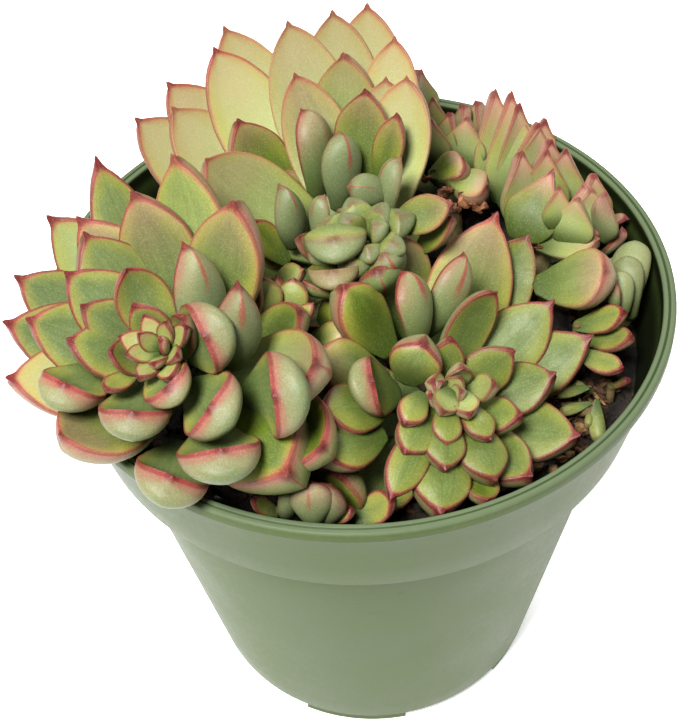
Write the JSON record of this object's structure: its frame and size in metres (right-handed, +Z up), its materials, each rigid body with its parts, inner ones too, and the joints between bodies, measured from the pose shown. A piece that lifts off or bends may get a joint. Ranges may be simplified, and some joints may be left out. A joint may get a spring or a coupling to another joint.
{
  "type": "potted succulent",
  "caption": "Clustered echeveria rosettes with red-edged leaves in a tapered sage green plastic nursery pot filled with soil.",
  "frame": {"origin": "on the axis of the pot, at the surface it stands on", "axes": "+Z up along the axis of the pot, +X to the right and -Y towards the viewer of the picture"},
  "size_m": [0.1173, 0.114, 0.13],
  "materials": {
    "pot": "satin",
    "soil": "rough",
    "leaf_grey": "satin",
    "leaf_pale": "satin",
    "leaf_rosy": "satin",
    "leaf_olive": "satin",
    "leaf_bud": "satin"
  },
  "bodies": {
    "root": {"pot": "pot", "soil": "soil", "head_left": "leaf_grey", "head_front": "leaf_grey", "head_back": "leaf_pale", "head_right": "leaf_rosy", "head_back_right": "leaf_rosy", "head_far_right": "leaf_rosy", "head_middle": "leaf_olive", "head_rim": "leaf_bud", "head_low": "leaf_bud", "head_seedling": "leaf_bud"}
  },
  "joints": []
}
